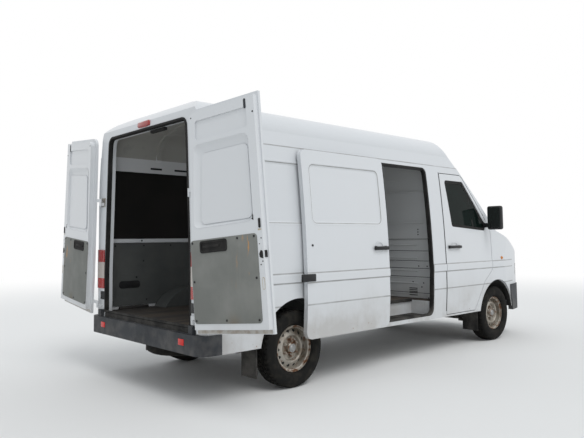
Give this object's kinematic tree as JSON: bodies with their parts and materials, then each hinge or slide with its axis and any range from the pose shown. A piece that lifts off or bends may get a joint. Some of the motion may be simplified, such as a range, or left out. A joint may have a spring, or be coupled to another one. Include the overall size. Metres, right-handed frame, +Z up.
{
  "type": "high-roof cargo van",
  "caption": "High-roof panel van with hinged rear doors, a sliding side door slid back, cab doors, opening bonnet, steered front wheels and rolling rear wheels.",
  "frame": {"origin": "on the ground at the middle of the outline with the rear doors open", "axes": "+X forward, +Y to the van's left, +Z up"},
  "size_m": [5.6471, 3.3654, 2.566],
  "materials": {
    "white_paint": "gloss",
    "clear_glass": "polished",
    "grey_plastic": "grained",
    "lamp_lens": "polished",
    "red_lens": "polished",
    "grey_lining": "matt",
    "floor_wood": "worn",
    "chassis_paint": "matt",
    "rim_paint": "satin",
    "tyre_rubber": "matt",
    "black_rubber": "matt",
    "cab_plastic": "grained",
    "seat_fabric": "woven",
    "exhaust_steel": "dull"
  },
  "bodies": {
    "van_body": {"high_roof": "white_paint", "left_side_panel": "white_paint", "right_side_panel": "white_paint", "cab_shell": "white_paint", "front_wings": "white_paint", "windscreen": "clear_glass", "grille": "grey_plastic", "headlamps": "lamp_lens", "rear_lamps": "red_lens", "sliding_door": "white_paint", "floor_pan": "white_paint", "plywood_floor": "floor_wood", "load_linings": "grey_lining", "partition": "white_paint", "dashboard": "cab_plastic", "cab_seats": "seat_fabric", "front_bumper": "grey_plastic", "rear_bumper": "grey_plastic", "chassis_rails": "chassis_paint", "rear_axle": "chassis_paint", "front_axle_beam": "chassis_paint", "spare_wheel": "tyre_rubber", "engine": "chassis_paint", "fuel_tank": "cab_plastic", "exhaust": "exhaust_steel", "mud_flaps": "black_rubber"},
    "left_steering": {"left_knuckle": "chassis_paint"},
    "right_steering": {"right_knuckle": "chassis_paint"},
    "front_left_wheel": {"front_left_rim": "rim_paint", "front_left_tyre": "tyre_rubber"},
    "front_right_wheel": {"front_right_rim": "rim_paint", "front_right_tyre": "tyre_rubber"},
    "rear_left_wheel": {"rear_left_rim": "rim_paint", "rear_left_tyre": "tyre_rubber"},
    "rear_right_wheel": {"rear_right_rim": "rim_paint", "rear_right_tyre": "tyre_rubber"},
    "rear_left_door": {"rear_left_door": "white_paint"},
    "front_left_door": {"front_left_door": "white_paint", "front_left_door_glass": "clear_glass", "left_mirror": "cab_plastic"},
    "rear_right_door": {"rear_right_door": "white_paint"},
    "front_right_door": {"front_right_door": "white_paint", "front_right_door_glass": "clear_glass", "right_mirror": "cab_plastic"},
    "bonnet": {"bonnet": "white_paint"},
    "steering_wheel": {"steering_wheel": "cab_plastic"}
  },
  "joints": [
    {"name": "rear_left_door_hinge", "type": "hinge", "parent": "van_body", "child": "rear_left_door", "pos_m": [-2.74883, 0.842, 0.69], "axis": [0, -0.0436, 0.999], "range_deg": [0, 183]},
    {"name": "rear_right_door_hinge", "type": "hinge", "parent": "van_body", "child": "rear_right_door", "pos_m": [-2.74883, -0.842, 0.69], "axis": [0, -0.0436, -0.999], "range_deg": [0, 191]},
    {"name": "front_left_door_hinge", "type": "hinge", "parent": "van_body", "child": "front_left_door", "pos_m": [1.71717, 0.978, 0.9], "axis": [0, 0, -1], "range_deg": [0, 68]},
    {"name": "front_right_door_hinge", "type": "hinge", "parent": "van_body", "child": "front_right_door", "pos_m": [1.71717, -0.978, 0.9], "axis": [0, 0, 1], "range_deg": [0, 68]},
    {"name": "bonnet_hinge", "type": "hinge", "parent": "van_body", "child": "bonnet", "pos_m": [2.04017, 0, 1.395], "axis": [0, -1, 0], "range_deg": [0, 50]},
    {"name": "left_steer", "type": "hinge", "parent": "van_body", "child": "left_steering", "pos_m": [1.85117, 0.655, 0.343], "axis": [0, 0, 1], "range_deg": [-32, 32]},
    {"name": "right_steer", "type": "hinge", "parent": "van_body", "child": "right_steering", "pos_m": [1.85117, -0.655, 0.343], "axis": [0, 0, 1], "range_deg": [-32, 32]},
    {"name": "steering_wheel_turn", "type": "hinge", "parent": "van_body", "child": "steering_wheel", "pos_m": [1.43117, 0.43, 1.252], "axis": [-0.6198, 0, 0.7848], "range_deg": [-520, 520]},
    {"name": "front_left_wheel_spin", "type": "hinge", "parent": "left_steering", "child": "front_left_wheel", "pos_m": [1.85117, 0.82, 0.343], "axis": [0, 1, 0], "continuous": true},
    {"name": "front_right_wheel_spin", "type": "hinge", "parent": "right_steering", "child": "front_right_wheel", "pos_m": [1.85117, -0.82, 0.343], "axis": [0, 1, 0], "continuous": true},
    {"name": "rear_left_wheel_spin", "type": "hinge", "parent": "van_body", "child": "rear_left_wheel", "pos_m": [-1.69883, 0.82, 0.343], "axis": [0, 1, 0], "continuous": true},
    {"name": "rear_right_wheel_spin", "type": "hinge", "parent": "van_body", "child": "rear_right_wheel", "pos_m": [-1.69883, -0.82, 0.343], "axis": [0, 1, 0], "continuous": true}
  ],
  "couplings": [
    {"joint": "right_steer", "follows": "left_steer", "ratio": 1},
    {"joint": "steering_wheel_turn", "follows": "left_steer", "ratio": 16}
  ]
}
